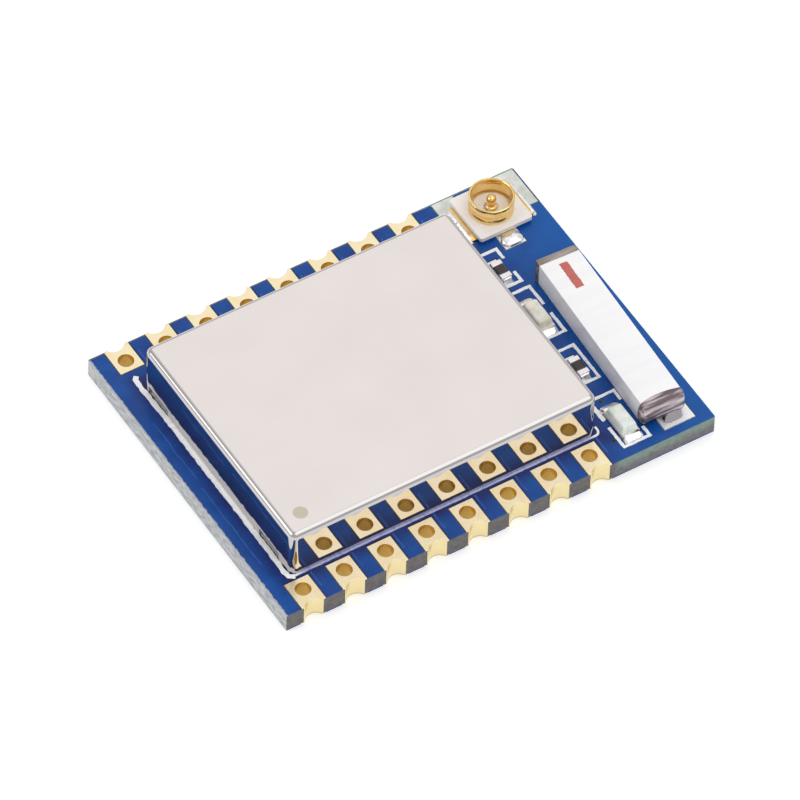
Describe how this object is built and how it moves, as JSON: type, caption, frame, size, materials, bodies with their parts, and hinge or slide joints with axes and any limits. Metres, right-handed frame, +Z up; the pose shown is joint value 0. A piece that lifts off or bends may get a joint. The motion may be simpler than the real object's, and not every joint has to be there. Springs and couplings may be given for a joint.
{
  "type": "wifi module",
  "caption": "Small circuit board with castellated edge contacts, a soldered shield can, a ceramic chip aerial, a miniature coaxial receptacle and indicator lamps.",
  "frame": {"origin": "centre of the underside of the board", "axes": "+X along the contact rows toward the aerial, +Y from the front row of contacts to the rear row, +Z up through the can"},
  "size_m": [0.021, 0.016, 0.0035],
  "materials": {
    "laminate": "matt cut glass-fibre laminate",
    "solder_mask": "glossy blue lacquer",
    "legend_ink": "matt white ink",
    "contact_gold": "bright gold plate",
    "tin": "bright tinned copper",
    "can_steel": "satin top and polished walls",
    "solder": "bright solder",
    "chip_black": "matt black moulding compound",
    "chip_lead": "tinned",
    "package_ceramic": "matt fired ceramic",
    "lid_metal": "plain plated lid",
    "coax_moulding": "satin white moulding",
    "coax_gold": "polished gold plate",
    "aerial_ceramic": "smooth white ceramic",
    "aerial_metal": "dull fired silver",
    "mark_ink": "matt red ink",
    "resistor_coat": "black glaze",
    "resistor_ceramic": "white ceramic",
    "lamp_carrier": "cream laminate",
    "lamp_lens": "translucent resin"
  },
  "bodies": {
    "root": {"aerial_back_cap": "aerial_metal", "aerial_body": "aerial_ceramic", "aerial_front_cap": "aerial_metal", "aerial_mark": "mark_ink", "can_land": "tin", "can_solder": "solder", "capacitor_bodies": "package_ceramic", "capacitor_ends": "chip_lead", "castellation_1": "contact_gold", "castellation_10": "contact_gold", "castellation_11": "contact_gold", "castellation_12": "contact_gold", "castellation_13": "contact_gold", "castellation_14": "contact_gold", "castellation_15": "contact_gold", "castellation_16": "contact_gold", "castellation_2": "contact_gold", "castellation_3": "contact_gold", "castellation_4": "contact_gold", "castellation_5": "contact_gold", "castellation_6": "contact_gold", "castellation_7": "contact_gold", "castellation_8": "contact_gold", "castellation_9": "contact_gold", "circuit_board": "laminate", "coax_base": "coax_moulding", "coax_pin": "coax_gold", "coax_shell": "coax_gold", "crystal_base": "package_ceramic", "crystal_lid": "lid_metal", "flash_chip": "chip_black", "flash_leads": "chip_lead", "led_1_base": "lamp_carrier", "led_1_lens": "lamp_lens", "led_2_base": "lamp_carrier", "led_2_lens": "lamp_lens", "legend": "legend_ink", "part_lands": "tin", "resistor_1_body": "resistor_ceramic", "resistor_1_coat": "resistor_coat", "resistor_1_ends": "tin", "resistor_2_body": "resistor_ceramic", "resistor_2_coat": "resistor_coat", "resistor_2_ends": "tin", "shield_can": "can_steel", "solder_joints": "solder", "solder_mask_bottom": "solder_mask", "solder_mask_top": "solder_mask", "system_chip": "chip_black", "system_chip_lands": "chip_lead"}
  },
  "joints": []
}
